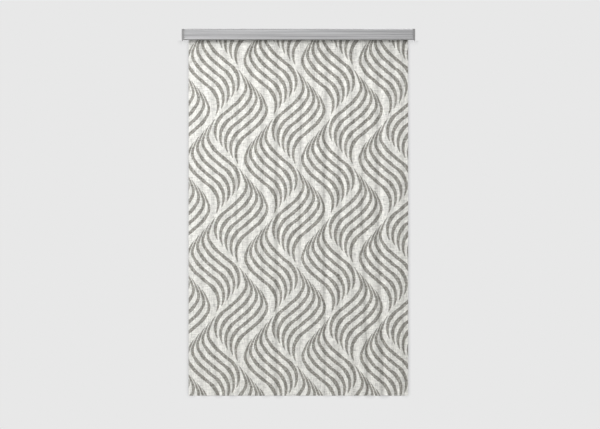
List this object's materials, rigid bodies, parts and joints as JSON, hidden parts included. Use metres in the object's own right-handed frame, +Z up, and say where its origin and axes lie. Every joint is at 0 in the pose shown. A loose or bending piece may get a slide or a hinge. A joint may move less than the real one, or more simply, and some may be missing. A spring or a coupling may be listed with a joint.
{
  "type": "curtain panel",
  "caption": "Printed curtain panel in shallow upright folds, hooked to runners in an aluminium ceiling rail with a tall brushed front.",
  "frame": {"origin": "on the rail's ceiling face, above the middle of the runner channel, half way along the rail", "axes": "+Z up, out of the ceiling face; -Y towards the room, as the printed face looks; +X to the right seen from the room"},
  "size_m": [1.5784, 0.0666, 2.485],
  "materials": {
    "printed_cloth": "woven, printed",
    "woven_tape": "woven",
    "brushed_aluminium": "brushed",
    "extruded_aluminium": "mill finish",
    "cap_plastic": "moulded, silver grey",
    "white_plastic": "moulded",
    "clear_plastic": "moulded",
    "zinc_steel": "zinc plated"
  },
  "bodies": {
    "rail": {"track": "extruded_aluminium", "fascia": "brushed_aluminium", "end_cap_left": "cap_plastic", "end_cap_right": "cap_plastic", "end_stop_left": "white_plastic", "end_stop_right": "white_plastic", "stop_screws": "zinc_steel", "curtain": "printed_cloth", "heading_tape": "woven_tape", "hook_00": "clear_plastic"},
    "runner_01": {"glider_01": "white_plastic", "hook_01": "clear_plastic"},
    "runner_02": {"glider_02": "white_plastic", "hook_02": "clear_plastic"},
    "runner_03": {"glider_03": "white_plastic", "hook_03": "clear_plastic"},
    "runner_04": {"glider_04": "white_plastic", "hook_04": "clear_plastic"},
    "runner_05": {"glider_05": "white_plastic", "hook_05": "clear_plastic"},
    "runner_06": {"glider_06": "white_plastic", "hook_06": "clear_plastic"},
    "runner_07": {"glider_07": "white_plastic", "hook_07": "clear_plastic"},
    "runner_08": {"glider_08": "white_plastic", "hook_08": "clear_plastic"},
    "runner_09": {"glider_09": "white_plastic", "hook_09": "clear_plastic"},
    "runner_10": {"glider_10": "white_plastic", "hook_10": "clear_plastic"},
    "runner_11": {"glider_11": "white_plastic", "hook_11": "clear_plastic"},
    "runner_12": {"glider_12": "white_plastic", "hook_12": "clear_plastic"},
    "runner_13": {"glider_13": "white_plastic", "hook_13": "clear_plastic"},
    "runner_14": {"glider_14": "white_plastic", "hook_14": "clear_plastic"},
    "runner_15": {"glider_15": "white_plastic", "hook_15": "clear_plastic"},
    "runner_16": {"glider_16": "white_plastic", "hook_16": "clear_plastic"},
    "runner_17": {"glider_17": "white_plastic", "hook_17": "clear_plastic"}
  },
  "joints": [
    {"name": "runner_17_slide", "type": "slide", "parent": "rail", "child": "runner_17", "axis": [-1, 0, 0], "range_m": [0, 1.074], "deforming": ["curtain", "heading_tape"]},
    {"name": "runner_16_slide", "type": "slide", "parent": "rail", "child": "runner_16", "axis": [-1, 0, 0], "range_m": [0, 1.01132]},
    {"name": "runner_15_slide", "type": "slide", "parent": "rail", "child": "runner_15", "axis": [-1, 0, 0], "range_m": [0, 0.94815]},
    {"name": "runner_14_slide", "type": "slide", "parent": "rail", "child": "runner_14", "axis": [-1, 0, 0], "range_m": [0, 0.88497]},
    {"name": "runner_13_slide", "type": "slide", "parent": "rail", "child": "runner_13", "axis": [-1, 0, 0], "range_m": [0, 0.82179]},
    {"name": "runner_12_slide", "type": "slide", "parent": "rail", "child": "runner_12", "axis": [-1, 0, 0], "range_m": [0, 0.75862]},
    {"name": "runner_11_slide", "type": "slide", "parent": "rail", "child": "runner_11", "axis": [-1, 0, 0], "range_m": [0, 0.69544]},
    {"name": "runner_10_slide", "type": "slide", "parent": "rail", "child": "runner_10", "axis": [-1, 0, 0], "range_m": [0, 0.63226]},
    {"name": "runner_09_slide", "type": "slide", "parent": "rail", "child": "runner_09", "axis": [-1, 0, 0], "range_m": [0, 0.56909]},
    {"name": "runner_08_slide", "type": "slide", "parent": "rail", "child": "runner_08", "axis": [-1, 0, 0], "range_m": [0, 0.50591]},
    {"name": "runner_07_slide", "type": "slide", "parent": "rail", "child": "runner_07", "axis": [-1, 0, 0], "range_m": [0, 0.44274]},
    {"name": "runner_06_slide", "type": "slide", "parent": "rail", "child": "runner_06", "axis": [-1, 0, 0], "range_m": [0, 0.37956]},
    {"name": "runner_05_slide", "type": "slide", "parent": "rail", "child": "runner_05", "axis": [-1, 0, 0], "range_m": [0, 0.31638]},
    {"name": "runner_04_slide", "type": "slide", "parent": "rail", "child": "runner_04", "axis": [-1, 0, 0], "range_m": [0, 0.25321]},
    {"name": "runner_03_slide", "type": "slide", "parent": "rail", "child": "runner_03", "axis": [-1, 0, 0], "range_m": [0, 0.19003]},
    {"name": "runner_02_slide", "type": "slide", "parent": "rail", "child": "runner_02", "axis": [-1, 0, 0], "range_m": [0, 0.12685]},
    {"name": "runner_01_slide", "type": "slide", "parent": "rail", "child": "runner_01", "axis": [-1, 0, 0], "range_m": [0, 0.06368]}
  ],
  "couplings": [
    {"joint": "runner_16_slide", "follows": "runner_17_slide", "ratio": 0.94118},
    {"joint": "runner_15_slide", "follows": "runner_17_slide", "ratio": 0.88235},
    {"joint": "runner_14_slide", "follows": "runner_17_slide", "ratio": 0.82353},
    {"joint": "runner_13_slide", "follows": "runner_17_slide", "ratio": 0.76471},
    {"joint": "runner_12_slide", "follows": "runner_17_slide", "ratio": 0.70588},
    {"joint": "runner_11_slide", "follows": "runner_17_slide", "ratio": 0.64706},
    {"joint": "runner_10_slide", "follows": "runner_17_slide", "ratio": 0.58823},
    {"joint": "runner_09_slide", "follows": "runner_17_slide", "ratio": 0.52941},
    {"joint": "runner_08_slide", "follows": "runner_17_slide", "ratio": 0.47059},
    {"joint": "runner_07_slide", "follows": "runner_17_slide", "ratio": 0.41176},
    {"joint": "runner_06_slide", "follows": "runner_17_slide", "ratio": 0.35294},
    {"joint": "runner_05_slide", "follows": "runner_17_slide", "ratio": 0.29412},
    {"joint": "runner_04_slide", "follows": "runner_17_slide", "ratio": 0.23529},
    {"joint": "runner_03_slide", "follows": "runner_17_slide", "ratio": 0.17647},
    {"joint": "runner_02_slide", "follows": "runner_17_slide", "ratio": 0.11765},
    {"joint": "runner_01_slide", "follows": "runner_17_slide", "ratio": 0.058824}
  ]
}
